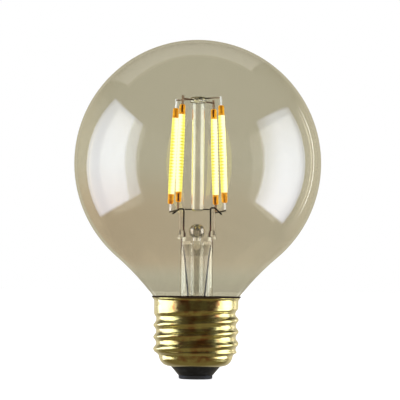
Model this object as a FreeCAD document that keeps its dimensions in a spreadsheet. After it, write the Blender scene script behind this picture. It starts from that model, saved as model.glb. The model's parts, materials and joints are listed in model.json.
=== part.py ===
import FreeCAD, Part
import math
import os
from types import SimpleNamespace

import Sketcher
from FreeCAD import Placement, Rotation, Vector

# A clear globe lamp with four glowing filaments and a brass screw cap.
# Millimetres. The origin is the middle of the flat face under the centre contact, +Z is up.

doc = FreeCAD.newDocument("globe_bulb")

sizes = {
    # Glass globe and neck
    "globe_diameter": 76.0,
    "globe_lift": 28.15,
    "glass_wall": 0.8,
    "shoulder_arc": 80.0,
    "throat_arc": 4.0,
    "throat_height": 21.85,
    "neck_diameter": 23.4,
    "neck_end_height": 15.5,
    # Stem: flare, tube, press, beads and bubble
    "stem_diameter": 10.0,
    "stem_wall": 0.9,
    "flare_rim_gap": 0.1,
    "shoulder_height": 37.5,
    "press_shoulder_rise": 4.7,
    "press_height": 1.2,
    "press_width": 10.0,
    "press_depth": 5.2,
    "hollow_top_drop": 1.2,
    "hollow_top_depth": 2.4,
    "bead_foot_diameter": 2.9,
    "bead_tip_diameter": 1.9,
    "bead_height": 2.1,
    "bead_round": 0.35,
    "bubble_diameter": 4.9,
    "bubble_wall": 0.65,
    "bubble_rise": 1.7,
    "blown_hole_diameter": 1.7,
    "blown_hole_drop": 0.6,
    "glass_seat_gap": 0.02,
    # Exhaust tube
    "exhaust_diameter": 4.0,
    "exhaust_wall": 0.7,
    "exhaust_tip_height": 15.2,
    # Glass rod
    "rod_diameter": 4.0,
    "rod_clearance": 3.95,
    "rod_foot_round": 0.9,
    "button_diameter": 5.2,
    "button_cover": 0.52,
    "button_flat_diameter": 3.4,
    # Filaments, set in a square round the rod and leaning in towards the top
    "filament_turn": 145.4,
    "filament_foot_offset": 10.27,
    "filament_head_offset": 8.33,
    "strip_lift": 2.4,
    "strip_length": 30.0,
    "strip_middle_diameter": 2.2,
    "strip_end_diameter": 1.8,
    "strip_end_round": 0.5,
    "pin_width": 0.7,
    "pin_thickness": 0.25,
    "pin_embed": 3.0,
    "pin_head_length": 2.38,
    "pin_head_rise": 0.35,
    # Wires that carry the filaments
    "upper_wire_diameter": 0.45,
    "upper_wire_spacing": 0.56,
    "bracket_diameter": 0.5,
    "bracket_drop": 0.1,
    "bracket_overhang": 0.35,
    "support_diameter": 0.4,
    "support_rise": 0.5,
    "support_embed": 0.9,
    "weld_gap": 0.05,
    # Leads with hooks, and the posts beside them
    "lead_diameter": 0.5,
    "lead_offset": 4.12,
    "lead_foot_offset": 2.6,
    "lead_foot_height": 10.0,
    "lead_spread_height": 26.0,
    "lead_bend": 6.0,
    "hook_bend": 0.45,
    "hook_left_rise": 0.7,
    "hook_left_reach": 5.45,
    "hook_left_arm": 2.65,
    "hook_right_rise": 1.1,
    "hook_right_reach": 5.45,
    "hook_right_arm": 2.9,
    "post_diameter": 0.6,
    "post_offset": 5.1,
    "post_foot_rise": 0.6,
    "post_top_gap": 0.15,
    # Screw cap: bowl, rolled thread, band and flared mouth
    "sheet": 0.3,
    "lip_diameter": 15.4,
    "lip_height": 3.85,
    "bowl_diameter": 22.8,
    "bowl_arc": 3.4,
    "thread_pitch": 3.629,
    "thread_crest_diameter": 26.3,
    "thread_root_diameter": 24.5,
    "thread_first_crest_height": 10.906,
    "thread_rise": 1.1,
    "thread_settle": 1.65,
    "thread_full_turns": 2.0,
    "thread_fade_turns": 0.42,
    "thread_top_settle": 1.2,
    "band_diameter": 25.9,
    "band_bottom_height": 22.3,
    "mouth_flare_height": 23.8,
    "mouth_diameter": 27.0,
    "mouth_height": 24.6,
    # Black insulator and centre contact
    "insulator_gap": 0.08,
    "insulator_foot_diameter": 10.7,
    "insulator_top_height": 6.2,
    "contact_diameter": 10.4,
    "contact_thickness": 1.1,
    "contact_edge_round": 0.5,
    "shank_diameter": 3.2,
    "shank_bore": 2.2,
    "shank_floor_height": 1.8,
    "shank_flange_diameter": 4.4,
    "shank_flange_thickness": 0.35,
    # Cement ring
    "cement_gap": 0.05,
    "cement_bottom_height": 22.5,
    "cement_top_height": 23.8,
    # Driver board and what is soldered to it
    "board_width": 16.0,
    "board_height": 8.0,
    "board_thickness": 1.0,
    "board_seat_gap": 0.05,
    "rectifier_width": 4.7,
    "rectifier_height": 3.9,
    "rectifier_offset": -3.7,
    "chip_width": 4.9,
    "chip_height": 3.9,
    "chip_offset": 3.6,
    "package_thickness": 1.5,
    "package_middle_height": 10.4,
    "package_foot_reach": 0.9,
    "package_foot_width": 0.45,
    "package_foot_thickness": 0.25,
    "capacitor_diameter": 6.3,
    "capacitor_height": 7.4,
    "capacitor_offset": 5.6,
    "capacitor_edge": 0.4,
    "capacitor_groove_low": 1.2,
    "capacitor_groove_width": 0.6,
    "capacitor_groove_radius": 0.4,
    "resistor_diameter": 2.3,
    "resistor_height": 6.2,
    "resistor_offset": 5.6,
    "resistor_bottom_height": 7.4,
    "resistor_waist_diameter": 1.9,
    "resistor_end_length": 1.2,
    "resistor_edge": 0.3,
    "resistor_wire_rise": 0.45,
    "inner_wire_diameter": 0.4,
    "contact_wire_foot_height": 2.0,
    "contact_wire_run_height": 6.75,
    "contact_wire_bend": 0.5,
}

sheet = doc.addObject("Spreadsheet::Sheet", "sizes")
for row, (alias, number) in enumerate(sizes.items(), start=1):
    sheet.set("A%d" % row, alias)
    sheet.set("B%d" % row, str(number))
    sheet.setAlias("B%d" % row, alias)
doc.recompute()


class Size:
    """A length from the sheet: its number now, and the formula that keeps a feature bound to it."""

    def __init__(self, number, formula):
        self.number = float(number)
        self.formula = formula

    def __add__(self, other):
        other = as_size(other)
        return Size(self.number + other.number, "(%s + %s)" % (self.formula, other.formula))

    def __radd__(self, other):
        return as_size(other) + self

    def __sub__(self, other):
        other = as_size(other)
        return Size(self.number - other.number, "(%s - %s)" % (self.formula, other.formula))

    def __rsub__(self, other):
        return as_size(other) - self

    def __mul__(self, other):
        other = as_size(other)
        return Size(self.number * other.number, "(%s * %s)" % (self.formula, other.formula))

    def __rmul__(self, other):
        return as_size(other) * self

    def __truediv__(self, other):
        other = as_size(other)
        return Size(self.number / other.number, "(%s / %s)" % (self.formula, other.formula))

    def __neg__(self):
        return Size(-self.number, "(0 - %s)" % self.formula)

    def __float__(self):
        return self.number


def as_size(value):
    return value if isinstance(value, Size) else Size(value, repr(float(value)))


def square_root(value):
    return Size(math.sqrt(value.number), "sqrt(%s)" % value.formula)


def bind(thing, path, value):
    thing.setExpression(path, as_size(value).formula)


dim = SimpleNamespace(**{alias: Size(getattr(sheet, alias), "sizes." + alias) for alias in sizes})

LEFT = 1
RIGHT = -1

# Heights that follow from one another up the lamp, so that a change low down carries all above it.
globe_centre_height = dim.globe_lift + dim.globe_diameter / 2
press_bottom = dim.shoulder_height + dim.press_shoulder_rise
press_top = press_bottom + dim.press_height
hollow_top = press_bottom - dim.hollow_top_drop
bubble_centre = press_top + dim.bubble_rise
rod_foot = bubble_centre + dim.bubble_diameter / 2 + dim.rod_clearance
bracket_height = rod_foot - dim.bracket_drop
support_height = rod_foot + dim.support_rise
strip_bottom = bracket_height + dim.strip_lift
upper_wire_a_height = strip_bottom + dim.strip_length + dim.pin_head_length
upper_wire_b_height = upper_wire_a_height - dim.upper_wire_spacing
button_top = upper_wire_a_height + dim.button_cover
button_bottom = upper_wire_b_height - dim.button_cover
hook_left_height = bracket_height + dim.hook_left_rise
hook_right_height = bracket_height + dim.hook_right_rise
post_foot = press_top + dim.post_foot_rise


# Sketches: an outline is a ring of marks (x, y), and a mark may also give the radius and the turn
# of the arc that leads on from it.

def new_body(label):
    body = doc.addObject("PartDesign::Body", label)
    body.Label = label
    return body


def new_sketch(body, label, role="XZ_Plane"):
    sketch = body.newObject("Sketcher::SketchObject", label)
    plane = next(feature for feature in body.Origin.OriginFeatures if feature.Role == role)
    sketch.AttachmentSupport = [(plane, "")]
    sketch.MapMode = "FlatFace"
    return sketch


def hold(sketch, geometry, point, x, y):
    """Hold one point of a line or an arc at x and y from the sketch's origin."""
    for kind, value in (("DistanceX", as_size(x)), ("DistanceY", as_size(y))):
        rule = Sketcher.Constraint(kind, -1, 1, geometry, point, value.number)
        index = sketch.addConstraint(rule)
        bind(sketch, "Constraints[%d]" % index, value)


def hold_radius(sketch, geometry, radius):
    radius = as_size(radius)
    index = sketch.addConstraint(Sketcher.Constraint("Radius", geometry, radius.number))
    bind(sketch, "Constraints[%d]" % index, radius)


def arc_between(start, end, radius, turn):
    """The short arc from start to end, which turns left or right as it goes."""
    middle = (start + end) / 2
    across = end - start
    height = math.sqrt(max(radius * radius - across.Length ** 2 / 4, 0.0))
    sideways = Vector(-across.y, across.x, 0).normalize() * turn
    centre = middle + sideways * height
    first, last = (start, end) if turn == LEFT else (end, start)
    begin = math.atan2(first.y - centre.y, first.x - centre.x)
    finish = math.atan2(last.y - centre.y, last.x - centre.x)
    if finish < begin:
        finish += 2 * math.pi
    return Part.ArcOfCircle(Part.Circle(centre, Vector(0, 0, 1), radius), begin, finish)


def outline(sketch, *marks):
    count = len(marks)
    spots = [Vector(float(mark[0]), float(mark[1]), 0) for mark in marks]
    ends = []
    for index, mark in enumerate(marks):
        here, there = spots[index], spots[(index + 1) % count]
        if len(mark) == 2:
            sketch.addGeometry(Part.LineSegment(here, there))
            ends.append((1, 2))
        else:
            sketch.addGeometry(arc_between(here, there, float(mark[2]), mark[3]))
            ends.append((1, 2) if mark[3] == LEFT else (2, 1))
    for index, mark in enumerate(marks):
        following = (index + 1) % count
        joint = Sketcher.Constraint("Coincident", index, ends[index][1], following, ends[following][0])
        sketch.addConstraint(joint)
    for index, mark in enumerate(marks):
        hold(sketch, index, ends[index][0], mark[0], mark[1])
        if len(mark) > 2:
            hold_radius(sketch, index, mark[2])


def bent_path(sketch, marks, bends):
    """Straight runs through the marks, joined by tangent arcs, as a wire is bent on pegs."""
    spots = [Vector(float(x), float(y), 0) for x, y in marks]
    starts, finishes, corners = [spots[0]], [], []
    for index in range(1, len(spots) - 1):
        before = (spots[index - 1] - spots[index]).normalize()
        after = (spots[index + 1] - spots[index]).normalize()
        half = before.getAngle(after) / 2
        setback = float(bends[index - 1]) / math.tan(half)
        finishes.append(spots[index] + before * setback)
        starts.append(spots[index] + after * setback)
        corners.append(LEFT if before.cross(after).z < 0 else RIGHT)
    finishes.append(spots[-1])
    lines = [sketch.addGeometry(Part.LineSegment(a, b)) for a, b in zip(starts, finishes)]
    arcs = []
    for index, turn in enumerate(corners):
        arc = arc_between(finishes[index], starts[index + 1], float(bends[index]), turn)
        arcs.append(sketch.addGeometry(arc))
    hold(sketch, lines[0], 1, *marks[0])
    hold(sketch, lines[-1], 2, *marks[-1])
    for index, turn in enumerate(corners):
        entry, leave = (1, 2) if turn == LEFT else (2, 1)
        rule = Sketcher.Constraint("Tangent", lines[index], 2, arcs[index], entry)
        sketch.addConstraint(rule)
        rule = Sketcher.Constraint("Tangent", arcs[index], leave, lines[index + 1], 1)
        sketch.addConstraint(rule)
        hold_radius(sketch, arcs[index], bends[index])
        peg = sketch.addGeometry(Part.Point(spots[index + 1]), True)
        sketch.addConstraint(Sketcher.Constraint("PointOnObject", peg, 1, lines[index]))
        sketch.addConstraint(Sketcher.Constraint("PointOnObject", peg, 1, lines[index + 1]))
        hold(sketch, peg, 1, *marks[index + 1])


def revolve(body, sketch, label):
    turned = body.newObject("PartDesign::Revolution", label)
    turned.Profile = sketch
    turned.ReferenceAxis = (sketch, ["V_Axis"])
    turned.Angle = 360.0
    sketch.Visibility = False
    return turned


def turned_body(label, *marks):
    body = new_body(label)
    sketch = new_sketch(body, label + "_outline")
    outline(sketch, *marks)
    revolve(body, sketch, label + "_turned")
    return body


def cylinder(label, radius, length, placement=None):
    part = doc.addObject("Part::Cylinder", label)
    part.Label = label
    bind(part, "Radius", radius)
    bind(part, "Height", length)
    if placement is not None:
        part.Placement = placement
    return part


def box(label, width, depth, height, x, y, z):
    """A block centred on x, with y and z its lowest faces."""
    part = doc.addObject("Part::Box", label)
    part.Label = label
    bind(part, "Length", width)
    bind(part, "Width", depth)
    bind(part, "Height", height)
    bind(part, "Placement.Base.x", x - as_size(width) / 2)
    bind(part, "Placement.Base.y", y)
    bind(part, "Placement.Base.z", z)
    return part


def joined(label, *parts):
    fused = doc.addObject("Part::MultiFuse", label)
    fused.Label = label
    fused.Shapes = list(parts)
    return fused


def cut(label, base, *tools):
    tool = tools[0] if len(tools) == 1 else joined(label + "_tools", *tools)
    trimmed = doc.addObject("Part::Cut", label)
    trimmed.Label = label
    trimmed.Base = base
    trimmed.Tool = tool
    return trimmed


def round_wire(label, plane_turn, marks, bends, diameter, stand=Vector(0, 0, 0)):
    """A round wire bent in one upright plane that is turned about Z, swept along its path."""
    body = new_body(label)
    path = new_sketch(body, label + "_path")
    bent_path(path, marks, bends)
    section = new_sketch(body, label + "_section", "XY_Plane")
    section.addGeometry(Part.Circle(Vector(float(marks[0][0]), 0, 0), Vector(0, 0, 1), float(diameter) / 2))
    hold(section, 0, 3, marks[0][0], 0)
    hold_radius(section, 0, diameter / 2)
    bind(section, "AttachmentOffset.Base.z", marks[0][1])
    swept = body.newObject("PartDesign::AdditivePipe", label + "_swept")
    swept.Profile = section
    swept.Spine = (path, [])
    body.Placement = Placement(stand, Rotation(Vector(0, 0, 1), plane_turn))
    return body


# Glass globe: a sphere, a long concave shoulder and a tight throat run tangent into the neck.
# The inner side is the same line set in by the wall.

def meeting_point(first, first_radius, second, second_radius):
    """Where two circles cross, on the side away from the axis and low down."""
    apart = second - first
    along = (first_radius ** 2 - second_radius ** 2 + apart.Length ** 2) / (2 * apart.Length)
    across = math.sqrt(first_radius ** 2 - along ** 2)
    unit = Vector(apart).normalize()
    return first + unit * along + Vector(-unit.y, unit.x, 0) * across


def bearing(centre, spot):
    return math.atan2(spot.y - centre.y, spot.x - centre.x)


def draw_globe_outline(sketch):
    globe = dim.globe_diameter / 2
    neck = dim.neck_diameter / 2
    globe_centre = Vector(0, float(globe_centre_height), 0)
    throat_centre = Vector(float(neck + dim.throat_arc), float(dim.throat_height), 0)
    shoulder_centre = meeting_point(
        globe_centre, float(globe + dim.shoulder_arc),
        throat_centre, float(dim.shoulder_arc - dim.throat_arc))
    to_globe = (globe_centre - shoulder_centre).normalize()
    to_throat = (throat_centre - shoulder_centre).normalize()

    def side(inset):
        """Sphere, shoulder and throat arcs, set in from the outside by inset."""
        shoulder_radius = float(dim.shoulder_arc) + inset
        join = shoulder_centre + to_globe * shoulder_radius
        throat = shoulder_centre + to_throat * shoulder_radius
        arcs = []
        for centre, radius, first, last in (
                (globe_centre, float(globe) - inset, bearing(globe_centre, join), math.pi / 2),
                (shoulder_centre, shoulder_radius,
                 bearing(shoulder_centre, join), bearing(shoulder_centre, throat)),
                (throat_centre, float(dim.throat_arc) + inset, bearing(throat_centre, throat), math.pi)):
            circle = Part.Circle(centre, Vector(0, 0, 1), radius)
            arcs.append(sketch.addGeometry(Part.ArcOfCircle(circle, first, last)))
        return arcs

    wall = float(dim.glass_wall)
    outer_sphere, outer_shoulder, outer_throat = side(0.0)
    inner_sphere, inner_shoulder, inner_throat = side(wall)
    low, top = float(dim.neck_end_height), float(dim.throat_height)
    outside, inside = float(neck), float(neck) - wall
    crown = float(globe_centre_height + globe)
    outer_neck = sketch.addGeometry(Part.LineSegment(Vector(outside, top, 0), Vector(outside, low, 0)))
    rim = sketch.addGeometry(Part.LineSegment(Vector(outside, low, 0), Vector(inside, low, 0)))
    inner_neck = sketch.addGeometry(Part.LineSegment(Vector(inside, low, 0), Vector(inside, top, 0)))
    pole = sketch.addGeometry(Part.LineSegment(Vector(0, crown - wall, 0), Vector(0, crown, 0)))
    for first, first_end, second, second_end in (
            (outer_sphere, 1, outer_shoulder, 1),
            (outer_shoulder, 2, outer_throat, 1),
            (outer_throat, 2, outer_neck, 1),
            (inner_neck, 2, inner_throat, 2),
            (inner_throat, 1, inner_shoulder, 2),
            (inner_shoulder, 1, inner_sphere, 1)):
        sketch.addConstraint(Sketcher.Constraint("Tangent", first, first_end, second, second_end))
    for first, first_end, second, second_end in (
            (outer_neck, 2, rim, 1),
            (rim, 2, inner_neck, 1),
            (inner_sphere, 2, pole, 1),
            (pole, 2, outer_sphere, 2),
            (inner_sphere, 3, outer_sphere, 3),
            (inner_throat, 3, outer_throat, 3)):
        sketch.addConstraint(Sketcher.Constraint("Coincident", first, first_end, second, second_end))
    hold(sketch, outer_sphere, 3, 0, globe_centre_height)
    hold(sketch, outer_throat, 3, neck + dim.throat_arc, dim.throat_height)
    hold(sketch, rim, 1, neck, dim.neck_end_height)
    hold(sketch, rim, 2, neck - dim.glass_wall, dim.neck_end_height)
    for arc in (outer_sphere, inner_sphere):
        sketch.addConstraint(Sketcher.Constraint("PointOnObject", arc, 2, -2))
    hold_radius(sketch, outer_sphere, globe)
    hold_radius(sketch, inner_sphere, globe - dim.glass_wall)
    hold_radius(sketch, outer_shoulder, dim.shoulder_arc)
    hold_radius(sketch, inner_shoulder, dim.shoulder_arc + dim.glass_wall)
    hold_radius(sketch, outer_throat, dim.throat_arc)
    hold_radius(sketch, inner_throat, dim.throat_arc + dim.glass_wall)


envelope = new_body("glass_envelope")
globe_outline = new_sketch(envelope, "globe_outline")
draw_globe_outline(globe_outline)
revolve(envelope, globe_outline, "globe_turned")


# Stem: the flared tube is turned, its top is squeezed into a flat press, and the bubble and the
# beads are drawn up round the exhaust and the leads while the glass is soft.

tube = dim.stem_diameter / 2
flare_rim = dim.neck_diameter / 2 - dim.glass_wall - dim.flare_rim_gap
flare_arc = flare_rim - tube
flare_top = dim.neck_end_height + dim.stem_wall + flare_arc

flare = new_body("flare_and_press")
flare_outline = new_sketch(flare, "flare_outline")
outline(
    flare_outline,
    (flare_rim, dim.neck_end_height),
    (flare_rim, dim.neck_end_height + dim.stem_wall, flare_arc, RIGHT),
    (tube, flare_top),
    (tube, dim.shoulder_height),
    (tube - dim.stem_wall, dim.shoulder_height),
    (tube - dim.stem_wall, flare_top, flare_arc + dim.stem_wall, LEFT))
revolve(flare, flare_outline, "flare_turned")


def draw_slot(sketch, width, depth):
    """A flat shape with round ends, as the press jaws leave it."""
    half = (width - depth) / 2
    top, reach = depth / 2, width / 2
    outline(
        sketch,
        (half, -top, top, LEFT),
        (reach, 0, top, LEFT),
        (half, top),
        (-half, top, top, LEFT),
        (-reach, 0, top, LEFT),
        (-half, -top))


def draw_ring_of_arcs(sketch, radius):
    """A circle in the same six pieces as the slot, so that the loft runs true."""
    corner = radius * math.sqrt(0.5)
    outline(
        sketch,
        (corner, -corner, radius, LEFT),
        (radius, 0, radius, LEFT),
        (corner, corner, radius, LEFT),
        (-corner, corner, radius, LEFT),
        (-radius, 0, radius, LEFT),
        (-corner, -corner, radius, LEFT))


def level_sketch(body, label, height):
    sketch = new_sketch(body, label, "XY_Plane")
    bind(sketch, "AttachmentOffset.Base.z", height)
    return sketch


def shoulder_loft(kind, label, round_radius, low, width, depth, high):
    start = level_sketch(flare, label + "_round", low)
    draw_ring_of_arcs(start, round_radius)
    end = level_sketch(flare, label + "_slot", high)
    draw_slot(end, width, depth)
    loft = flare.newObject(kind, label)
    loft.Profile = start
    loft.Sections = [end]
    return loft


shoulder_loft("PartDesign::AdditiveLoft", "press_shoulder", tube, dim.shoulder_height,
              dim.press_width, dim.press_depth, press_bottom)
shoulder_loft("PartDesign::SubtractiveLoft", "press_hollow", tube - dim.stem_wall, dim.shoulder_height,
              dim.press_width - 2 * dim.stem_wall, dim.hollow_top_depth, hollow_top)
press_plan = level_sketch(flare, "press_plan", press_bottom)
draw_slot(press_plan, dim.press_width, dim.press_depth)
press = flare.newObject("PartDesign::Pad", "press_block")
press.Profile = press_plan
bind(press, "Length", dim.press_height)

bead_offset = (dim.lead_offset + dim.post_offset) / 2


def glass_bead(label, side):
    """The glass that climbs a little way up a lead and its post."""
    foot, tip = dim.bead_foot_diameter / 2, dim.bead_tip_diameter / 2
    sunk = press_top - dim.press_height / 2
    top = press_top + dim.bead_height
    bead = turned_body(
        label,
        (0, sunk),
        (foot, sunk),
        (foot, press_top),
        (tip, top - dim.bead_round, dim.bead_round, LEFT),
        (tip - dim.bead_round, top),
        (0, top))
    bind(bead, "Placement.Base.x", side * bead_offset)
    return bead


def bubble_ball(label, radius):
    ball = doc.addObject("Part::Sphere", label)
    ball.Label = label
    bind(ball, "Radius", radius)
    bind(ball, "Placement.Base.z", bubble_centre)
    return ball


def upright_bore(label, diameter, x, low, high):
    """A seat for a wire or a tube, open by the glass seat's gap all round."""
    bore = cylinder(label, diameter / 2 + dim.glass_seat_gap, high - low)
    bind(bore, "Placement.Base.x", x)
    bind(bore, "Placement.Base.z", low)
    return bore


bubble_radius = dim.bubble_diameter / 2
stem_glass = joined(
    "stem_glass", flare, bubble_ball("bubble_outside", bubble_radius),
    glass_bead("bead_left", -1), glass_bead("bead_right", 1))
exhaust_bore = cylinder("exhaust_bore", dim.exhaust_diameter / 2 - dim.exhaust_wall,
                        bubble_centre - hollow_top)
bind(exhaust_bore, "Placement.Base.z", hollow_top)
blown_hole = cylinder("blown_hole", dim.blown_hole_diameter / 2, dim.bubble_diameter,
                      Placement(Vector(0, 0, 0), Rotation(Vector(1, 0, 0), 90)))
bind(blown_hole, "Placement.Base.z", bubble_centre - dim.blown_hole_drop)
bore_low, bore_high = dim.shoulder_height, press_top + dim.bead_height + dim.bead_round
cut("glass_stem", stem_glass,
    bubble_ball("bubble_inside", bubble_radius - dim.bubble_wall), exhaust_bore, blown_hole,
    upright_bore("exhaust_seat", dim.exhaust_diameter, 0, dim.shoulder_height, press_bottom),
    upright_bore("lead_bore_left", dim.lead_diameter, -dim.lead_offset, bore_low, bore_high),
    upright_bore("lead_bore_right", dim.lead_diameter, dim.lead_offset, bore_low, bore_high),
    upright_bore("post_bore_left", dim.post_diameter, -dim.post_offset, post_foot, bore_high),
    upright_bore("post_bore_right", dim.post_diameter, dim.post_offset, post_foot, bore_high))


# Exhaust tube: open at the press, drawn to a closed round tip in the cap.

exhaust = dim.exhaust_diameter / 2
exhaust_inner = exhaust - dim.exhaust_wall
exhaust_top = press_bottom - dim.glass_seat_gap
tip = dim.exhaust_tip_height
turned_body(
    "exhaust_tube",
    (0, tip, exhaust, LEFT),
    (exhaust, tip + exhaust),
    (exhaust, exhaust_top),
    (exhaust_inner, exhaust_top),
    (exhaust_inner, tip + exhaust, exhaust_inner, RIGHT),
    (0, tip + dim.exhaust_wall))


# Glass rod: rounded at the foot, pressed into a button at the top round the two crossing wires.

rod = dim.rod_diameter / 2
foot_round = dim.rod_foot_round
button = dim.button_diameter / 2
button_flat = dim.button_flat_diameter / 2
button_edge = button - button_flat
rod_blank = turned_body(
    "rod_blank",
    (0, rod_foot),
    (rod - foot_round, rod_foot, foot_round, LEFT),
    (rod, rod_foot + foot_round),
    (rod, button_bottom - (button - rod), button - rod, RIGHT),
    (button, button_bottom),
    (button, button_top - button_edge, button_edge, LEFT),
    (button_flat, button_top),
    (0, button_top))


def level_wire(label, radius, length, middle_height, turn, start):
    """A straight wire, level, that sets out from start along a line turned about Z."""
    aim = Rotation(Vector(0, 0, 1), turn) * Rotation(Vector(0, 1, 0), 90)
    origin = Rotation(Vector(0, 0, 1), turn).multVec(Vector(start, 0, 0))
    wire = cylinder(label, radius, length, Placement(origin, aim))
    bind(wire, "Placement.Base.z", middle_height)
    return wire


turn_a = sizes["filament_turn"]
turn_b = turn_a + 90.0
upper_reach = dim.button_diameter


def wire_seat(label, height, turn):
    radius = dim.upper_wire_diameter / 2 + dim.glass_seat_gap
    return level_wire(label, radius, upper_reach * 2, height, turn, -float(upper_reach))


def support_seat(label, turn):
    radius = dim.support_diameter / 2 + dim.glass_seat_gap
    start = float(rod - dim.support_embed - dim.glass_seat_gap)
    return level_wire(label, radius, rod, support_height, turn, start)


cut("centre_rod", rod_blank,
    wire_seat("upper_seat_a", upper_wire_a_height, turn_a),
    wire_seat("upper_seat_b", upper_wire_b_height, turn_b),
    support_seat("support_seat_left", 180.0),
    support_seat("support_seat_right", 0.0))


# Filaments: a long strip coated all round, a little thicker in the middle, with a flat pin let into
# each end. All four are the same piece, set round the rod a quarter turn apart.

strip_length = dim.strip_length
strip_start = strip_bottom - bracket_height
strip_end = strip_start + strip_length
lean_run = dim.filament_foot_offset - dim.filament_head_offset
lean_rise = upper_wire_a_height - bracket_height
lean = math.degrees(math.atan2(float(lean_run), float(lean_rise)))
slant = math.cos(math.radians(lean))
pin_top = lean_rise / slant + dim.pin_head_rise
pin_foot = (dim.bracket_diameter / 2 + dim.weld_gap) / slant


def filament_placement(index):
    turn = turn_a + 90.0 * index
    foot = Rotation(Vector(0, 0, 1), turn).multVec(
        Vector(float(dim.filament_foot_offset), 0, float(bracket_height)))
    return Placement(foot, Rotation(Vector(0, 0, 1), turn) * Rotation(Vector(0, 1, 0), -lean))


def draw_pin_plan(sketch, gap):
    half_thick = dim.pin_thickness / 2 + gap
    half_wide = dim.pin_width / 2 + gap
    outline(
        sketch,
        (-half_thick, -half_wide),
        (half_thick, -half_wide),
        (half_thick, half_wide),
        (-half_thick, half_wide))


def flat_pin(label, low, high, placement):
    body = new_body(label)
    plan = level_sketch(body, label + "_plan", low)
    draw_pin_plan(plan, 0)
    pad = body.newObject("PartDesign::Pad", label + "_pad")
    pad.Profile = plan
    bind(pad, "Length", high - low)
    body.Placement = placement


def pin_slot(body, label, low, high):
    plan = level_sketch(body, label + "_plan", low)
    draw_pin_plan(plan, dim.glass_seat_gap)
    pocket = body.newObject("PartDesign::Pocket", label)
    pocket.Profile = plan
    pocket.Reversed = True
    bind(pocket, "Length", high - low)


def filament(index):
    name = "filament_%d" % (index + 1)
    placement = filament_placement(index)
    body = new_body(name)
    profile = new_sketch(body, name + "_outline")
    end, middle = dim.strip_end_diameter / 2, dim.strip_middle_diameter / 2
    swell = middle - end
    straight = strip_length - 2 * dim.strip_end_round
    swell_arc = (straight * straight / 4 + swell * swell) / (2 * swell)
    low_round, high_round = strip_start + dim.strip_end_round, strip_end - dim.strip_end_round
    outline(
        profile,
        (0, strip_start),
        (end - dim.strip_end_round, strip_start, dim.strip_end_round, LEFT),
        (end, low_round, swell_arc, LEFT),
        (end, high_round, dim.strip_end_round, LEFT),
        (end - dim.strip_end_round, strip_end),
        (0, strip_end))
    revolve(body, profile, name + "_turned")
    embed = dim.pin_embed
    pin_slot(body, name + "_lower_slot", strip_start, strip_start + embed + dim.glass_seat_gap)
    pin_slot(body, name + "_upper_slot", strip_end - embed - dim.glass_seat_gap, strip_end)
    body.Placement = placement
    flat_pin(name + "_lower_pin", pin_foot, strip_start + embed, placement)
    flat_pin(name + "_upper_pin", strip_end - embed, pin_top, placement)
    return name


filament_names = [filament(index) for index in range(4)]


# Wires on top: one joins filaments 1 and 3, the other joins 2 and 4, and both pass through the
# button without touching each other.

def upper_wire(label, height, turn):
    """The wire ends short of the pins' inner faces by the weld's gap."""
    drop = upper_wire_a_height - height
    face = dim.filament_head_offset + drop * math.tan(math.radians(lean))
    reach = face - (dim.pin_thickness / 2) / slant - dim.weld_gap
    return level_wire(label, dim.upper_wire_diameter / 2, reach * 2, height, turn, -float(reach))


upper_wire("upper_wire_a", upper_wire_a_height, turn_a)
upper_wire("upper_wire_b", upper_wire_b_height, turn_b)


# Wires below: each stands under the feet of two neighbouring filaments.

def lower_bracket(label, first):
    feet = [filament_placement(index).Base for index in (first, first + 1)]
    along = (feet[1] - feet[0]).normalize()
    origin = feet[0] - along * float(dim.bracket_overhang)
    turn = math.degrees(math.atan2(along.y, along.x))
    aim = Rotation(Vector(0, 0, 1), turn) * Rotation(Vector(0, 1, 0), 90)
    span = dim.filament_foot_offset * math.sqrt(2.0) + dim.bracket_overhang * 2
    wire = cylinder(label, dim.bracket_diameter / 2, span, Placement(origin, aim))
    bind(wire, "Placement.Base.z", bracket_height)
    return wire


# The bracket runs past the side of the stem here, where a hook's arm crosses under it.
near, far = math.radians(turn_a), math.radians(turn_b)
crossing_share = math.sin(near) / (math.sin(near) - math.sin(far))
crossing = math.cos(near) + crossing_share * (math.cos(far) - math.cos(near))
bracket_crossing = dim.filament_foot_offset * abs(crossing)

lower_bracket("lower_bracket_left", 0)
lower_bracket("lower_bracket_right", 2)


def rod_support(label, turn):
    start = rod - dim.support_embed
    reach = dim.lead_offset - dim.lead_diameter / 2 - dim.weld_gap
    return level_wire(label, dim.support_diameter / 2, reach - start, support_height, turn, float(start))


rod_support("rod_support_left", 180.0)
rod_support("rod_support_right", 0.0)


# Leads: from the board up through the flare and the press, then over in a hook that lies against
# the lower bracket. A brighter post stands beside each one, under the hook.

def hook_tip(reach, height, arm):
    """End of a hook's arm that leaves its corner and passes just under the lower bracket."""
    run, drop = bracket_crossing - reach, height - bracket_height
    clear = (dim.lead_diameter + dim.bracket_diameter) / 2 + dim.weld_gap
    slope_length = square_root(run * run + drop * drop)
    sine = clear / slope_length
    cosine = square_root(1 - sine * sine)
    across = (cosine * run - sine * drop) / slope_length
    down = (sine * run + cosine * drop) / slope_length
    return reach + arm * across, height - arm * down


def lead_wire(label, turn, hook_height, hook_reach, arm):
    marks = [
        (dim.lead_foot_offset, dim.lead_foot_height),
        (dim.lead_foot_offset, dim.lead_spread_height),
        (dim.lead_offset, hollow_top - dim.lead_diameter / 2),
        (dim.lead_offset, hook_height),
        (hook_reach, hook_height),
        hook_tip(hook_reach, hook_height, arm)]
    bends = [dim.lead_bend, dim.lead_bend, dim.hook_bend, dim.hook_bend]
    return round_wire(label, turn, marks, bends, dim.lead_diameter)


def lead_post(label, side, hook_height):
    top = hook_height - dim.lead_diameter / 2 - dim.post_top_gap
    low = post_foot + dim.glass_seat_gap
    post = cylinder(label, dim.post_diameter / 2, top - low)
    bind(post, "Placement.Base.x", side * dim.post_offset)
    bind(post, "Placement.Base.z", low)
    return post


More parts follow.
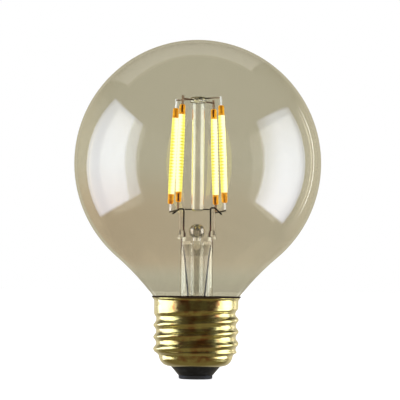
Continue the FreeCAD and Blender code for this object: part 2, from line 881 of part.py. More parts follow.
lead_wire("lead_wire_left", 180.0, hook_left_height, dim.hook_left_reach, dim.hook_left_arm)
lead_wire("lead_wire_right", 0.0, hook_right_height, dim.hook_right_reach, dim.hook_right_arm)
lead_post("lead_post_left", -1, hook_left_height)
lead_post("lead_post_right", 1, hook_right_height)


# Screw cap: one drawn sheet of brass. Its bowl and its flared mouth are turned; between them the
# thread is rolled, with narrow round crests, wide roots, and a last groove that fades into the band.

THREAD_STEPS_ROUND = 24
THREAD_ROWS_PER_PITCH = 12
BOWL_STEPS = 6
MOUTH_STEPS = 4
CREST_SHARPNESS = 1.5


def smooth_step(value, low, high):
    share = min(max((value - low) / (high - low), 0.0), 1.0)
    return share * share * (3.0 - 2.0 * share)


def thread_radius(angle, height):
    """Outside radius of the rolled wall, with the angle from -pi to pi, right-handed."""
    pitch = sizes["thread_pitch"]
    crest = sizes["thread_crest_diameter"] / 2
    bowl = sizes["bowl_diameter"] / 2
    band = sizes["band_diameter"] / 2
    depth = crest - sizes["thread_root_diameter"] / 2
    crest_height = sizes["thread_first_crest_height"] + pitch * angle / (2 * math.pi)
    phase = 2 * math.pi * (height - crest_height) / pitch
    groove = 1.0 - ((1.0 + math.cos(phase)) / 2) ** CREST_SHARPNESS
    groove_index = math.floor((height - crest_height) / pitch)
    turns = groove_index + angle / (2 * math.pi)
    start = sizes["thread_full_turns"]
    fade = 1.0 - smooth_step(turns, start, start + sizes["thread_fade_turns"])
    low = sizes["lip_height"] + sizes["bowl_arc"]
    rise = sizes["thread_rise"]
    outside = bowl + (crest - bowl) * smooth_step(height, low, low + rise)
    last_crest = sizes["thread_first_crest_height"] + pitch * start
    outside += (band - crest) * smooth_step(height, last_crest, last_crest + pitch / 2)
    settle = smooth_step(height, low, low + sizes["thread_settle"])
    high = sizes["band_bottom_height"]
    settle *= 1.0 - smooth_step(height, high - sizes["thread_top_settle"], high)
    return outside - depth * groove * fade * settle


def wall_rows(angle, inset):
    """Radius and height of each row of the sheet, from the lip to the mouth, on one side of it."""
    lip, low = sizes["lip_diameter"] / 2, sizes["lip_height"]
    bowl, arc = sizes["bowl_diameter"] / 2, sizes["bowl_arc"]
    band, mouth = sizes["band_diameter"] / 2, sizes["mouth_diameter"] / 2
    flare_low, top = sizes["mouth_flare_height"], sizes["mouth_height"]
    thread_low, thread_high = low + arc, sizes["band_bottom_height"]
    rows = [(lip, low + inset)]
    for step in range(BOWL_STEPS + 1):
        swing = math.pi / 2 * step / BOWL_STEPS
        round_off = arc - inset
        rows.append((bowl - arc + round_off * math.sin(swing), thread_low - round_off * math.cos(swing)))
    count = int(round((thread_high - thread_low) / sizes["thread_pitch"] * THREAD_ROWS_PER_PITCH))
    for step in range(1, count + 1):
        height = thread_low + (thread_high - thread_low) * step / count
        rows.append((thread_radius(angle, height) - inset, height))
    reach, rise = mouth - band, top - flare_low
    bend = (reach * reach + rise * rise) / (2 * reach)
    full_swing = math.asin(rise / bend)
    for step in range(MOUTH_STEPS + 1):
        swing = full_swing * step / MOUTH_STEPS
        round_off = bend + inset
        rows.append((band + bend - round_off * math.cos(swing), flare_low + round_off * math.sin(swing)))
    return rows


def wall_surface(inset):
    """One side of the sheet as a single smooth surface, closed round the axis."""
    step = 2 * math.pi / THREAD_STEPS_ROUND
    fullness = (2.0 + math.cos(step)) / 3.0
    poles = []
    for turn in range(THREAD_STEPS_ROUND):
        angle = -math.pi + step * turn
        across = Vector(math.cos(angle), math.sin(angle), 0) / fullness
        poles.append([across * radius + Vector(0, 0, height) for radius, height in wall_rows(angle, inset)])
    rows = len(poles[0])
    surface = Part.BSplineSurface()
    surface.buildFromPolesMultsKnots(
        poles,
        [1] * (THREAD_STEPS_ROUND + 1),
        [4] + [1] * (rows - 4) + [4],
        [float(knot) for knot in range(THREAD_STEPS_ROUND + 1)],
        [float(knot) for knot in range(rows - 2)],
        True, False, 3, 3)
    return surface


def rolled_shell():
    outer, inner = wall_surface(0.0), wall_surface(sizes["sheet"])
    faces = [outer.toShape(), inner.toShape()]
    for end in (0.0, outer.bounds()[3]):
        faces.append(Part.makeRuledSurface(outer.vIso(end).toShape(), inner.vIso(end).toShape()))
    wall = Part.makeCompound(faces)
    wall.sewShape()
    solid = Part.makeSolid(wall.Shells[0] if wall.Shells else wall)
    if solid.Volume < 0:
        solid.reverse()
    return solid


screw_shell = doc.addObject("Part::Feature", "screw_shell")
screw_shell.Label = "screw_shell"
screw_shell.Shape = rolled_shell()
screw_shell.Placement = Placement()


# Insulator: black moulded glass that fills the bowl, with a cone below the lip and a bore for the
# contact's shank. The contact is a turned disc, riveted over in a recess on top.

shank = dim.shank_diameter / 2
shank_flange = dim.shank_flange_diameter / 2
shank_bore = dim.shank_bore / 2
flange_low = dim.insulator_top_height - dim.shank_flange_thickness
lip_inside = dim.lip_diameter / 2 - dim.insulator_gap
lip_top = dim.lip_height + dim.sheet + dim.insulator_gap
bowl_fill = dim.bowl_arc - dim.sheet - dim.insulator_gap
bowl_centre = dim.bowl_diameter / 2 - dim.bowl_arc
bowl_drop = dim.lip_height + dim.bowl_arc - dim.insulator_top_height
turned_body(
    "insulator",
    (shank + dim.insulator_gap, dim.contact_thickness + dim.insulator_gap),
    (dim.insulator_foot_diameter / 2, dim.contact_thickness + dim.insulator_gap),
    (lip_inside, dim.lip_height),
    (lip_inside, lip_top),
    (bowl_centre, lip_top, bowl_fill, LEFT),
    (bowl_centre + square_root(bowl_fill * bowl_fill - bowl_drop * bowl_drop), dim.insulator_top_height),
    (shank_flange + dim.insulator_gap, dim.insulator_top_height),
    (shank_flange + dim.insulator_gap, flange_low - dim.insulator_gap),
    (shank + dim.insulator_gap, flange_low - dim.insulator_gap))

contact = dim.contact_diameter / 2
turned_body(
    "centre_contact",
    (0, 0),
    (contact - dim.contact_edge_round, 0, dim.contact_edge_round, LEFT),
    (contact, dim.contact_edge_round),
    (contact, dim.contact_thickness),
    (shank, dim.contact_thickness),
    (shank, flange_low),
    (shank_flange, flange_low),
    (shank_flange, dim.insulator_top_height),
    (shank_bore, dim.insulator_top_height),
    (shank_bore, dim.shank_floor_height),
    (0, dim.shank_floor_height))


# Cement: a baked ring between the throat of the glass and the band of the cap.

cement_arc = dim.throat_arc - dim.cement_gap
throat_centre_radius = dim.neck_diameter / 2 + dim.throat_arc
cement_outside = dim.band_diameter / 2 - dim.sheet - dim.cement_gap


def throat_radius(height):
    """Inside radius of the cement where it follows the throat of the glass."""
    rise = height - dim.throat_height
    return throat_centre_radius - square_root(cement_arc * cement_arc - rise * rise)


turned_body(
    "base_cement",
    (throat_radius(dim.cement_bottom_height), dim.cement_bottom_height),
    (cement_outside, dim.cement_bottom_height),
    (cement_outside, dim.cement_top_height),
    (throat_radius(dim.cement_top_height), dim.cement_top_height, cement_arc, LEFT))


# Driver: a small upright board on the insulator, behind the leads, with a bridge rectifier and a
# driver chip on its back, and a capacitor and a fusible resistor in front.

board_front = dim.lead_diameter / 2 + dim.weld_gap
board_back = board_front + dim.board_thickness
board_low = dim.insulator_top_height + dim.board_seat_gap
box("driver_board", dim.board_width, dim.board_thickness, dim.board_height, 0, board_front, board_low)


def chip_package(label, width, height, middle, feet_per_side):
    """A moulded package flat on the board's back, with its feet out to both sides."""
    face = board_back + dim.weld_gap
    low = dim.package_middle_height - height / 2
    parts = [box(label + "_mould", width, dim.package_thickness, height, middle, face, low)]
    spread = width + 2 * dim.package_foot_reach
    for foot in range(feet_per_side):
        foot_middle = low + height * (foot + 0.5) / feet_per_side
        foot_low = foot_middle - dim.package_foot_width / 2
        parts.append(box("%s_foot_%d" % (label, foot + 1), spread, dim.package_foot_thickness,
                         dim.package_foot_width, middle, face, foot_low))
    return joined(label, *parts)


chip_package("bridge_rectifier", dim.rectifier_width, dim.rectifier_height, dim.rectifier_offset, 2)
chip_package("driver_chip", dim.chip_width, dim.chip_height, dim.chip_offset, 4)

can = dim.capacitor_diameter / 2
can_edge = dim.capacitor_edge
can_top = board_low + dim.capacitor_height
groove_low = board_low + dim.capacitor_groove_low
capacitor = turned_body(
    "smoothing_capacitor",
    (0, board_low),
    (can - can_edge, board_low, can_edge, LEFT),
    (can, board_low + can_edge),
    (can, groove_low, dim.capacitor_groove_radius, RIGHT),
    (can, groove_low + dim.capacitor_groove_width),
    (can, can_top - can_edge, can_edge, LEFT),
    (can - can_edge, can_top),
    (0, can_top))
bind(capacitor, "Placement.Base.x", -dim.capacitor_offset)
bind(capacitor, "Placement.Base.y", board_front - dim.weld_gap - can)

barrel = dim.resistor_diameter / 2
waist = dim.resistor_waist_diameter / 2
barrel_edge = dim.resistor_edge
barrel_low = dim.resistor_bottom_height
barrel_top = barrel_low + dim.resistor_height
barrel_end = dim.resistor_end_length
barrel_y = board_front - dim.weld_gap - barrel
resistor = turned_body(
    "fusible_resistor",
    (0, barrel_low),
    (barrel - barrel_edge, barrel_low, barrel_edge, LEFT),
    (barrel, barrel_low + barrel_edge),
    (barrel, barrel_low + barrel_end),
    (waist, barrel_low + barrel_end + barrel_edge),
    (waist, barrel_top - barrel_end - barrel_edge),
    (barrel, barrel_top - barrel_end),
    (barrel, barrel_top - barrel_edge, barrel_edge, LEFT),
    (barrel - barrel_edge, barrel_top),
    (0, barrel_top))
bind(resistor, "Placement.Base.x", dim.resistor_offset)
bind(resistor, "Placement.Base.y", barrel_y)


# Wires in the cap: from the contact's shank to the resistor, from the resistor back to the board,
# and from the board to the brass.

contact_wire_reach = square_root(dim.resistor_offset * dim.resistor_offset + barrel_y * barrel_y)
contact_wire_turn = math.degrees(math.atan2(float(barrel_y), float(dim.resistor_offset)))
round_wire(
    "contact_wire", contact_wire_turn,
    [(0, dim.contact_wire_foot_height),
     (0, dim.contact_wire_run_height),
     (contact_wire_reach, dim.contact_wire_run_height),
     (contact_wire_reach, barrel_low - dim.weld_gap)],
    [dim.contact_wire_bend, dim.contact_wire_bend / 2],
    dim.inner_wire_diameter)

resistor_wire_height = barrel_top + dim.resistor_wire_rise
round_wire(
    "resistor_wire", 90.0,
    [(0, barrel_top + dim.weld_gap),
     (0, resistor_wire_height),
     (barrel, resistor_wire_height)],
    [dim.contact_wire_bend / 2],
    dim.inner_wire_diameter,
    Vector(float(dim.resistor_offset), float(barrel_y), 0))

shell_wire_y = board_front + dim.board_thickness / 2
shell_inside = dim.thread_root_diameter / 2 - dim.sheet - dim.weld_gap
shell_edge_y = shell_wire_y + dim.inner_wire_diameter / 2
shell_wire_end = square_root(shell_inside * shell_inside - shell_edge_y * shell_edge_y)
shell_wire_start = dim.board_width / 2 + dim.weld_gap
shell_wire = cylinder("shell_wire", dim.inner_wire_diameter / 2, shell_wire_end - shell_wire_start,
                      Placement(Vector(0, 0, 0), Rotation(Vector(0, 1, 0), 90)))
bind(shell_wire, "Placement.Base.x", shell_wire_start)
bind(shell_wire, "Placement.Base.y", shell_wire_y)
bind(shell_wire, "Placement.Base.z", dim.thread_first_crest_height - dim.thread_pitch / 2)


# Every piece by name, checked and then written to its own file.

pieces = [
    "glass_envelope", "glass_stem", "exhaust_tube", "centre_rod",
    "upper_wire_a", "upper_wire_b", "lower_bracket_left", "lower_bracket_right",
    "rod_support_left", "rod_support_right", "lead_wire_left", "lead_wire_right",
    "lead_post_left", "lead_post_right", "screw_shell", "insulator", "centre_contact", "base_cement",
    "driver_board", "bridge_rectifier", "driver_chip", "smoothing_capacitor", "fusible_resistor",
    "contact_wire", "resistor_wire", "shell_wire"]
for name in filament_names:
    pieces += [name, name + "_lower_pin", name + "_upper_pin"]

doc.recompute()
for thing in doc.Objects:
    if "Invalid" in thing.State or "Error" in thing.State:
        raise RuntimeError("%s failed: %s" % (thing.Label, thing.State))

os.makedirs("parts", exist_ok=True)
for name in pieces:
    shape = doc.getObjectsByLabel(name)[0].Shape
    if shape.isNull() or not shape.isValid() or not shape.Solids:
        raise RuntimeError("%s has no sound solid" % name)
    shape.exportStep("parts/%s.step" % name)
    print("%-24s solids %d  volume %9.3f  z %7.2f to %7.2f" % (
        name, len(shape.Solids), shape.Volume, shape.BoundBox.ZMin, shape.BoundBox.ZMax))
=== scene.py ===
import json
import math

import bpy
from mathutils import Matrix, Vector

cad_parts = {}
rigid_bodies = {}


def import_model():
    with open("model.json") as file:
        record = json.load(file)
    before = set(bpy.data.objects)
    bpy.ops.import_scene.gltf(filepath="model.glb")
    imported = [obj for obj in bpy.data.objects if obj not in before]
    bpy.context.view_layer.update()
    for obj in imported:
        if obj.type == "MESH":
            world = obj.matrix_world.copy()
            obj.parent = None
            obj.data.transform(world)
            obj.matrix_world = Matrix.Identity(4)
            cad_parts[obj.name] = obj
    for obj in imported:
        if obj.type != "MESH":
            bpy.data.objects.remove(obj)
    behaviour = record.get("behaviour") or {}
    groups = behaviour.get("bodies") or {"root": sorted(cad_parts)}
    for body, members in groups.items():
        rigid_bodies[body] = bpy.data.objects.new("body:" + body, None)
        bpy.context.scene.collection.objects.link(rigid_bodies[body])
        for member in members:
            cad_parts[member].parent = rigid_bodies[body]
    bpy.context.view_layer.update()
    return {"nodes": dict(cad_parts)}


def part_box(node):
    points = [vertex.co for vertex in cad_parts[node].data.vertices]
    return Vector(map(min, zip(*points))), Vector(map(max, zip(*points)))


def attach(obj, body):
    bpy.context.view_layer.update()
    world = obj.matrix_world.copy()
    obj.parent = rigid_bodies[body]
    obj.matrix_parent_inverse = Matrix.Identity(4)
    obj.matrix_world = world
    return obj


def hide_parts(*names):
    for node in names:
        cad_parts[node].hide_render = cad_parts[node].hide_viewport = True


bpy.ops.object.select_all(action="SELECT")
bpy.ops.object.delete()

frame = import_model()


# The globe and its neck: one blown piece of clear soda glass with a thin smoky coat, which mirrors
# more than bare glass and thins out down the neck. Light goes straight through so thin a wall: it is
# a tint and a mirror.

MM = 0.001
GLOBE_CENTRE = 66.15 * MM
GLOBE_RADIUS = 38.0 * MM
GLOBE_WALL = 0.8 * MM
SHOULDER_ARC = 80.0 * MM
SHOULDER_CENTRE = (76.62 * MM, -23.59 * MM)
SHOULDER_TOP = 37.25 * MM
SMOKY_TINT = (0.728, 0.700, 0.589)
AMBER_TINT = (0.707, 0.630, 0.500)
AMBER_AMOUNT = 0.6
AMBER_LEFTWARD = 12.0
AMBER_STARTS = (30.0 * MM, 37.0 * MM)
AMBER_FADES = (50.0 * MM, 68.0 * MM)
NECK_THINS = (25.0 * MM, 36.0 * MM)
NECK_SHADE = 0.94
NECK_RIM_FADES = (29.0 * MM, 36.0 * MM)
NECK_RIM_SHADE = 0.86
RIM_SHADE = 0.98
RIM_STARTS = 0.77
RIM_WIDTH = 0.05
COAT_MIRROR = 0.07
RIM_MIRROR = 0.30
COAT_HAZE = 0.012
COAT_STARTS = (24.0 * MM, 44.0 * MM)
BARE_MIRROR_SHARE = 0.30


class Value:
    """A number that comes out of a node. Arithmetic on it adds Math nodes."""

    def __init__(self, finish, socket):
        self.finish = finish
        self.socket = socket

    def math(self, operation, *numbers):
        sockets = {"_%d" % index: number for index, number in enumerate(numbers)}
        return self.finish.value(self.finish.node("ShaderNodeMath", {"operation": operation}, **sockets))

    def __add__(self, other):
        return self.math("ADD", self, other)

    def __sub__(self, other):
        return self.math("SUBTRACT", self, other)

    def __mul__(self, other):
        return self.math("MULTIPLY", self, other)

    def __truediv__(self, other):
        return self.math("DIVIDE", self, other)

    def __pow__(self, power):
        return self.math("POWER", self, power)

    def __radd__(self, other):
        return self.math("ADD", other, self)

    def __rsub__(self, other):
        return self.math("SUBTRACT", other, self)

    def __rmul__(self, other):
        return self.math("MULTIPLY", other, self)

    def size(self):
        return self.math("ABSOLUTE", self)

    def wave(self):
        return self.math("COSINE", self)

    def between(self, low, high):
        """0 up to low, 1 from high on, and smooth in between."""
        made = self.finish.node("ShaderNodeMapRange", {"interpolation_type": "SMOOTHSTEP"},
                                Value=self, From_Min=low, From_Max=high)
        return self.finish.value(made)


class Finish:
    """The nodes of one material, or of the world. Every node is made by node()."""

    def __init__(self, owner):
        owner.use_nodes = True
        self.owner = owner
        self.tree = owner.node_tree
        self.tree.nodes.clear()

    def node(self, kind, settings=None, **sockets):
        """A node by its type, with its settings, a ramp's stops, and the values or links of its sockets."""
        made = self.tree.nodes.new(kind)
        for name, setting in (settings or {}).items():
            if name == "stops":
                while len(made.color_ramp.elements) < len(setting):
                    made.color_ramp.elements.new(1.0)
                for stop, (place, colour) in zip(made.color_ramp.elements, setting):
                    stop.position = place
                    stop.color = (*colour, 1.0)
            else:
                setattr(made, name, setting)
        for name, value in sockets.items():
            socket = made.inputs[int(name[1:])] if name[1:].isdigit() else made.inputs[name.replace("_", " ")]
            if isinstance(value, Value):
                self.tree.links.new(value.socket, socket)
            elif isinstance(value, bpy.types.NodeSocket):
                self.tree.links.new(value, socket)
            elif isinstance(value, tuple) and len(value) == 3 and socket.type == "RGBA":
                socket.default_value = (*value, 1.0)
            else:
                socket.default_value = value
        return made

    def value(self, node, output=0):
        return Value(self, node.outputs[output])

    def place(self):
        """The point on the piece, in metres in the row's frame."""
        return self.node("ShaderNodeTexCoord").outputs["Object"]

    def axes(self, vector=None):
        split = self.node("ShaderNodeSeparateXYZ", Vector=vector or self.place())
        return [self.value(split, axis) for axis in range(3)]

    def noise(self, scale, detail=4.0, roughness=0.55, stretch=(1.0, 1.0, 1.0), offset=(0.0, 0.0, 0.0)):
        """Soft random patches, scale of them to the metre."""
        mapping = self.node("ShaderNodeMapping", Vector=self.place(), Scale=stretch, Location=offset)
        made = self.node("ShaderNodeTexNoise", Vector=mapping.outputs[0], Scale=scale, Detail=detail,
                         Roughness=roughness)
        return self.value(made)

    def mix(self, share, first, second):
        """A colour between two others."""
        return self.node("ShaderNodeMix", {"data_type": "RGBA"}, _0=share, _6=first, _7=second).outputs[2]

    def blend(self, share, first, second):
        """A shader between two others."""
        return self.node("ShaderNodeMixShader", _0=share, _1=first, _2=second).outputs[0]

    def facing(self):
        """0 where the surface looks at the ray, 1 where it is seen edge on."""
        return self.value(self.node("ShaderNodeLayerWeight", Blend=0.5), 1)

    def pane(self, colour):
        """Clear, and tints what is behind it."""
        return self.node("ShaderNodeBsdfTransparent", Color=colour).outputs[0]

    def bump(self, height, depth, strength=1.0):
        """Small relief: height goes from 0 to 1 over a depth in metres."""
        return self.node("ShaderNodeBump", Height=height, Distance=depth, Strength=strength).outputs[0]

    def principled(self, **sockets):
        return self.node("ShaderNodeBsdfPrincipled", **sockets).outputs[0]

    def show(self, shader):
        self.node("ShaderNodeOutputMaterial", Surface=shader)
        return self.owner


def new_finish(name):
    return Finish(bpy.data.materials.new(name))


def dress(material, *nodes):
    """Gives CAD nodes their finish."""
    for name in nodes:
        piece = frame["nodes"][name]
        piece.data.materials.clear()
        piece.data.materials.append(material)


def scaled(colour, share):
    return tuple(part * share for part in colour)


def outer_surface(x, y, z):
    """1 on the outside of the wall and 0 on its inside, by the distance from the centre of its arc."""
    near = GLOBE_WALL * 0.2
    far = GLOBE_WALL * 0.8
    drop = z - GLOBE_CENTRE
    away = x * x + y * y + drop * drop
    on_globe = away.between((GLOBE_RADIUS - far) ** 2, (GLOBE_RADIUS - near) ** 2)
    inward = SHOULDER_CENTRE[0] - (x * x + y * y) ** 0.5
    climb = z - SHOULDER_CENTRE[1]
    hollow = inward * inward + climb * climb
    on_shoulder = 1.0 - hollow.between((SHOULDER_ARC + near) ** 2, (SHOULDER_ARC + far) ** 2)
    below = 1.0 - z.between(SHOULDER_TOP - 0.4 * MM, SHOULDER_TOP + 0.4 * MM)
    return on_globe + (on_shoulder - on_globe) * below


def coated_glass(name):
    """Each of the wall's two surfaces tints what is behind it and mirrors a little. At the rim the eye
    meets the outer surface alone, which then has the tint of both. The neck is darker, and an amber
    cast lies low on the globe, most of it on the left."""
    finish = new_finish(name)
    x, y, z = finish.axes()
    facing = finish.facing()
    smoky = tuple(math.sqrt(part) for part in SMOKY_TINT)
    amber = tuple(math.sqrt(part) for part in AMBER_TINT)
    cloud = finish.noise(14.0, detail=2.0)
    low = (1.0 - z.between(*AMBER_FADES)) * z.between(*AMBER_STARTS) * (AMBER_AMOUNT - x * AMBER_LEFTWARD)
    through = finish.blend(low * (0.75 + cloud * 0.5), finish.pane(smoky), finish.pane(amber))
    through = finish.blend(z.between(*NECK_THINS), finish.pane(scaled(smoky, NECK_SHADE)), through)
    neck = 1.0 - z.between(*NECK_RIM_FADES)
    globe_rim = finish.pane(scaled(SMOKY_TINT, RIM_SHADE))
    neck_rim = finish.pane(scaled(SMOKY_TINT, NECK_RIM_SHADE))
    start = RIM_STARTS - neck * 0.06
    edge = facing.between(start, start + RIM_WIDTH) * outer_surface(x, y, z)
    through = finish.blend(edge, through, finish.blend(neck, globe_rim, neck_rim))
    mirror = COAT_MIRROR + (RIM_MIRROR - COAT_MIRROR) * facing ** 5.0
    coated = BARE_MIRROR_SHARE + z.between(*COAT_STARTS) * (1.0 - BARE_MIRROR_SHARE)
    gloss = finish.node("ShaderNodeBsdfGlossy", Color=(1.0, 1.0, 1.0), Roughness=COAT_HAZE).outputs[0]
    return finish.show(finish.blend(mirror * coated, through, gloss))


dress(coated_glass("smoky globe glass"), "glass_envelope")


# The stem and its exhaust tube: clear lead glass, drawn and pressed while hot. The rod on top is of
# the same glass. They are thick enough to bend what is seen through them, and the air bubble shut in
# at the top of the stem shines like a mirror.

BUBBLE_FOOT = 43.0 * MM
BUBBLE_REACH = (2.6 * MM, 3.0 * MM)


def thick_glass(name, colour, ripple, scorched_top=1.0, bubble_foot=1.0):
    """Clear glass, brown from the oxide of the wires just below scorched_top, and half a mirror from
    bubble_foot up."""
    finish = new_finish(name)
    x, y, z = finish.axes()
    waves = finish.noise(260.0, detail=2.0, stretch=(1.0, 1.0, 0.25))
    oxide = z.between(scorched_top - 0.9 * MM, scorched_top - 0.4 * MM)
    shader = finish.principled(
        Base_Color=finish.mix(oxide, colour, (0.14, 0.11, 0.05)), Roughness=0.0, IOR=1.5,
        Transmission_Weight=1.0, Normal=finish.bump(waves, ripple))
    shine = finish.node("ShaderNodeBsdfGlossy", Color=(1.0, 0.97, 0.92), Roughness=0.04).outputs[0]
    bubble = z.between(bubble_foot, bubble_foot + 0.8 * MM) * 0.5
    bubble = bubble * (1.0 - (x * x + y * y).between(BUBBLE_REACH[0] ** 2, BUBBLE_REACH[1] ** 2))
    return finish.show(finish.blend(bubble, shader, shine))


stem_glass = thick_glass("clear stem glass", (0.945, 0.94, 0.92), 0.00003, bubble_foot=BUBBLE_FOOT)
dress(stem_glass, "glass_stem", "exhaust_tube")
rod_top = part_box("centre_rod")[1].z
dress(thick_glass("clear rod glass", (0.99, 0.98, 0.96), 0.00001, rod_top), "centre_rod")


# Four filaments: a row of tiny chips on a strip, under a yellow phosphor coat that is moulded round
# it. The coat swells a little over each chip, and at both ends it stays unlit and amber.

STRIP_END_RADIUS = 0.9 * MM
STRIP_MIDDLE_RADIUS = 1.1 * MM
STRIP_LENGTH = 30.0 * MM
UNLIT_LENGTH = 3.1 * MM
CHIP_PITCH = 0.97 * MM
CHIP_SWELL = 0.05 * MM
STRIP_ROUND = 0.5 * MM
CHIPS = round((STRIP_LENGTH - 2 * UNLIT_LENGTH) / CHIP_PITCH)
LIT_LENGTH = CHIPS * CHIP_PITCH
LIT_START = (STRIP_LENGTH - LIT_LENGTH) / 2
PIN_SIDE = 0.39
PIN_BAR_FADES = (0.080, 0.092)
GLOW_STRENGTH = 2.3


def strip_outline():
    """Radius and height of the coat from its lower end to its upper one."""
    marks = [(0.0, 0.0)]
    for step in range(4):
        swing = math.pi / 2 * step / 3
        radius = STRIP_END_RADIUS - STRIP_ROUND * (1 - math.sin(swing))
        marks.append((radius, STRIP_ROUND * (1 - math.cos(swing))))
    for step in range(CHIPS * 6 + 1):
        height = LIT_START + LIT_LENGTH * step / (CHIPS * 6)
        share = 2 * height / STRIP_LENGTH - 1
        body = STRIP_MIDDLE_RADIUS - (STRIP_MIDDLE_RADIUS - STRIP_END_RADIUS) * share ** 2 - CHIP_SWELL
        swell = CHIP_SWELL * (0.5 - 0.5 * math.cos(2 * math.pi * step / 6))
        marks.append((body + swell, height))
    marks += [(radius, STRIP_LENGTH - height) for radius, height in reversed(marks[:5])]
    return marks


def turned(name, marks, steps):
    """A piece turned from an outline of (radius, height) marks that starts and ends on the axis."""
    bpy.ops.object.select_all(action="DESELECT")
    bpy.ops.mesh.primitive_circle_add(vertices=3, radius=MM, calc_uvs=False)
    piece = bpy.context.object
    piece.name = name
    bpy.ops.object.mode_set(mode="EDIT")
    bpy.ops.mesh.select_all(action="SELECT")
    bpy.ops.mesh.merge(type="CENTER")
    bpy.ops.transform.translate(value=(marks[0][0], 0.0, marks[0][1]))
    for here, there in zip(marks, marks[1:]):
        step = (there[0] - here[0], 0.0, there[1] - here[1])
        bpy.ops.mesh.extrude_vertices_move(TRANSFORM_OT_translate={"value": step})
    bpy.ops.mesh.select_all(action="SELECT")
    bpy.ops.mesh.spin(steps=steps, angle=2 * math.pi, center=(0, 0, 0), axis=(0, 0, 1))
    bpy.ops.mesh.select_all(action="SELECT")
    bpy.ops.mesh.remove_doubles(threshold=0.002 * MM)
    bpy.ops.mesh.normals_make_consistent(inside=False)
    bpy.ops.object.mode_set(mode="OBJECT")
    bpy.ops.object.shade_smooth_by_angle(angle=math.radians(50))
    return piece


def wrap_map(piece, length, hand):
    """A map of a turned strip: round it from the seam at its back, and up it from its lower end."""
    layer = piece.data.uv_layers.new(name="strip")
    for polygon in piece.data.polygons:
        middle = math.atan2(polygon.center.y, polygon.center.x)
        for loop in polygon.loop_indices:
            spot = piece.data.vertices[piece.data.loops[loop].vertex_index].co
            angle = math.atan2(spot.y, spot.x) if math.hypot(spot.x, spot.y) > 0.01 * MM else middle
            if angle - middle > math.pi:
                angle -= 2 * math.pi
            if middle - angle > math.pi:
                angle += 2 * math.pi
            layer.data[loop].uv = (hand * angle / (2 * math.pi) + 0.5, spot.z / length)


def phosphor(name, pin_shade):
    """Lit between its ends: white over the chips, yellow and ridged on the far side from them. The pin
    shows through the ends as a darker bar, as far as pin_shade."""
    finish = new_finish(name)
    around, up, depth = finish.axes(finish.node("ShaderNodeUVMap", {"uv_map": "strip"}).outputs[0])
    from_end = 0.5 - (up - 0.5).size()
    unlit = UNLIT_LENGTH / STRIP_LENGTH
    lit = from_end.between(unlit - 0.004, unlit + 0.008)
    chip_wave = ((up - LIT_START / STRIP_LENGTH) * (2 * math.pi * STRIP_LENGTH / CHIP_PITCH)).wave()
    from_chips = (around - 0.5).size()
    far_side = from_chips.between(0.09, 0.21)
    ridge = chip_wave.between(-0.4, 0.5) * from_chips.between(0.03, 0.14)
    ridge = ridge * (1.0 - (up - 0.5).size().between(0.15, 0.36) * 0.7)
    yellow = finish.mix(far_side, (1.0, 1.0, 0.60), (0.62, 0.62, 0.13))
    glow = finish.mix(ridge, yellow, (0.44, 0.43, 0.03))
    pin_faces = ((around - PIN_SIDE) * (4 * math.pi)).wave()
    pin_bar = pin_faces.between(0.78, 0.92) * from_end.between(0.004, 0.012)
    pin_bar = pin_bar * (1.0 - from_end.between(*PIN_BAR_FADES)) * pin_shade
    amber = finish.mix(finish.noise(1500.0).between(0.35, 0.65), (0.62, 0.20, 0.006), (1.0, 0.60, 0.03))
    ends = finish.mix(pin_bar, amber, (0.06, 0.008, 0.001))
    ember = finish.mix(pin_faces.between(-0.7, 0.6), (0.34, 0.16, 0.0), (0.17, 0.05, 0.0))
    ember = finish.mix(pin_bar, ember, (0.008, 0.001, 0.0))
    shader = finish.principled(
        Base_Color=finish.mix(lit, ends, (0.45, 0.35, 0.08)), Roughness=0.45, Specular_IOR_Level=0.25,
        Emission_Color=finish.mix(lit, ember, glow), Emission_Strength=GLOW_STRENGTH)
    return finish.show(shader)


# Which way the chips of each strip face, in degrees, and which way round its map runs.
CHIP_SIDES = ((-48.0, 1), (-132.0, -1), (-52.0, 1), (-62.0, 1))
coats = (phosphor("yellow phosphor coat", 0.5), phosphor("yellow phosphor coat over stained pins", 1.0))
for index, (chip_side, hand) in enumerate(CHIP_SIDES):
    lower, upper = ("filament_%d_%s_pin" % (index + 1, end) for end in ("lower", "upper"))
    foot = sum(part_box(lower), Vector()) / 2
    head = sum(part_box(upper), Vector()) / 2
    up = (head - foot).normalized()
    strip = turned("filament_strip_%d" % (index + 1), strip_outline(), 24)
    wrap_map(strip, STRIP_LENGTH, hand)
    middle = sum(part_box("filament_%d" % (index + 1)), Vector()) / 2
    lean = Vector((0, 0, 1)).rotation_difference(up).to_matrix().to_4x4()
    turn = Matrix.Rotation(math.radians(chip_side), 4, "Z")
    stand = Matrix.Translation(middle - up * (STRIP_LENGTH / 2))
    strip.data.transform(stand @ lean @ turn)
    strip.data.materials.append(coats[index % 2])
    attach(strip, "root")
    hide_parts("filament_%d" % (index + 1))


# Pins at the ends of the strips: flat stampings of nickel plate, stained by the weld on two of them.

def bright_metal(name, colour, roughness, streak, metallic=1.0):
    finish = new_finish(name)
    marks = finish.noise(900.0, detail=3.0, stretch=(1.0, 1.0, streak))
    shader = finish.principled(
        Base_Color=finish.mix(marks, scaled(colour, 0.75), colour),
        Metallic=metallic, Roughness=marks * 0.15 + roughness)
    return finish.show(shader)


nickel = bright_metal("nickel pin plate", (1.0, 0.98, 0.95), 0.10, 0.2)
stained = bright_metal("stained pin plate", (0.40, 0.27, 0.17), 0.32, 0.2)
dress(nickel, *["filament_%d_%s_pin" % (index, end) for index in (1, 3) for end in ("lower", "upper")])
dress(stained, *["filament_%d_%s_pin" % (index, end) for index in (2, 4) for end in ("lower", "upper")])


# Wires that carry the strips: dark molybdenum, drawn straight. Two cross in the rod's button, two
# stand under the strips, and two short ones hold the rod's foot.

dark_wire = bright_metal("dark drawn wire", (0.07, 0.05, 0.04), 0.30, 0.5)


